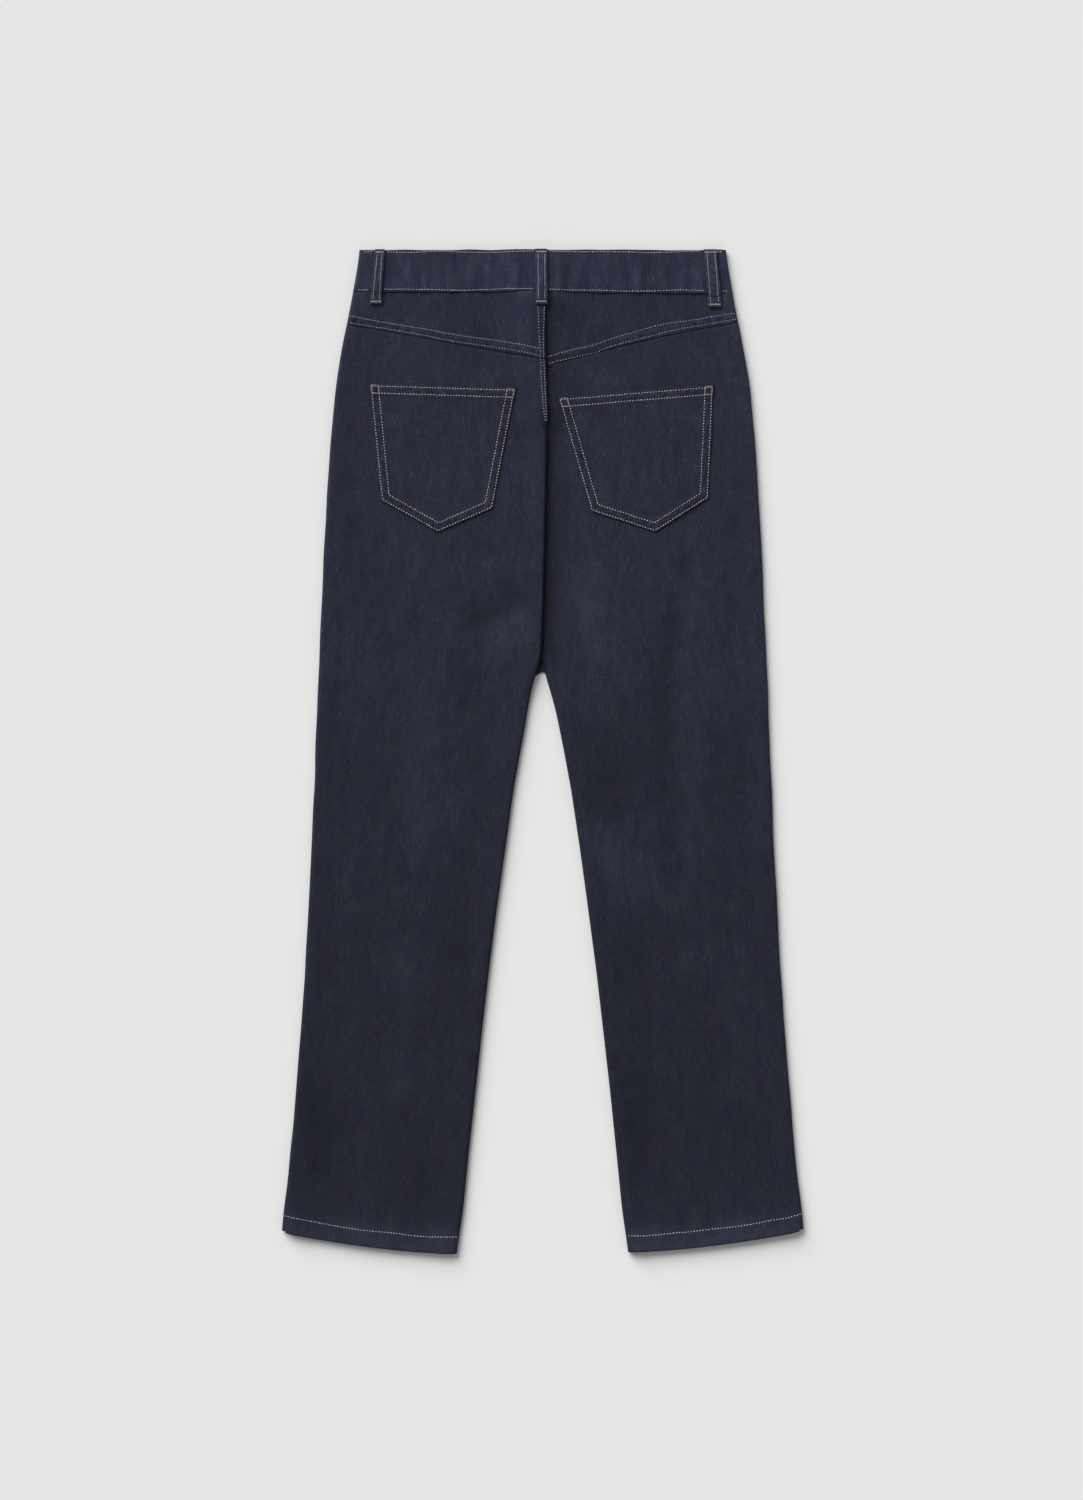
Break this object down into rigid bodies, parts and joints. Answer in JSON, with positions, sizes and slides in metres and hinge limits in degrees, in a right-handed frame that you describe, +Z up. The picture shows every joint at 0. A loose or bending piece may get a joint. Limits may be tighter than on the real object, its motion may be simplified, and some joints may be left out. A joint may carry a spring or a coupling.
{
  "type": "slim fit jeans",
  "caption": "Slim fit denim jeans lying flat, back side up, with back yoke, patch pockets, belt loops, waistband, fly zip and button.",
  "frame": {"origin": "middle of the outline on the surface that the jeans lie on", "axes": "+X across the waist, +Y from the hems to the waistband, +Z up from the surface; the back of the jeans faces +Z and the wearer's left is at -X"},
  "size_m": [0.5085, 0.9804, 0.0137],
  "materials": {
    "denim": "matt indigo twill, nearly black, with faint upright slubs",
    "waistband_denim": "matt indigo twill, a little lighter",
    "zip_cloth": "dark woven tape",
    "thread": "satin twisted sewing thread, pale warm grey",
    "metal": "aged satin"
  },
  "bodies": {
    "root": {"back_left": "denim", "back_right": "denim", "yoke_left": "denim", "yoke_right": "denim", "front_left": "denim", "front_right": "denim", "facing_left": "denim", "facing_right": "denim", "pocket_back_left": "denim", "pocket_back_right": "denim", "waistband": "waistband_denim", "loop_back": "waistband_denim", "loop_side_left": "waistband_denim", "loop_side_right": "waistband_denim", "loop_front_left": "waistband_denim", "loop_front_right": "waistband_denim", "zip_tape": "zip_cloth", "zip_slider": "metal", "button": "metal"}
  },
  "joints": []
}
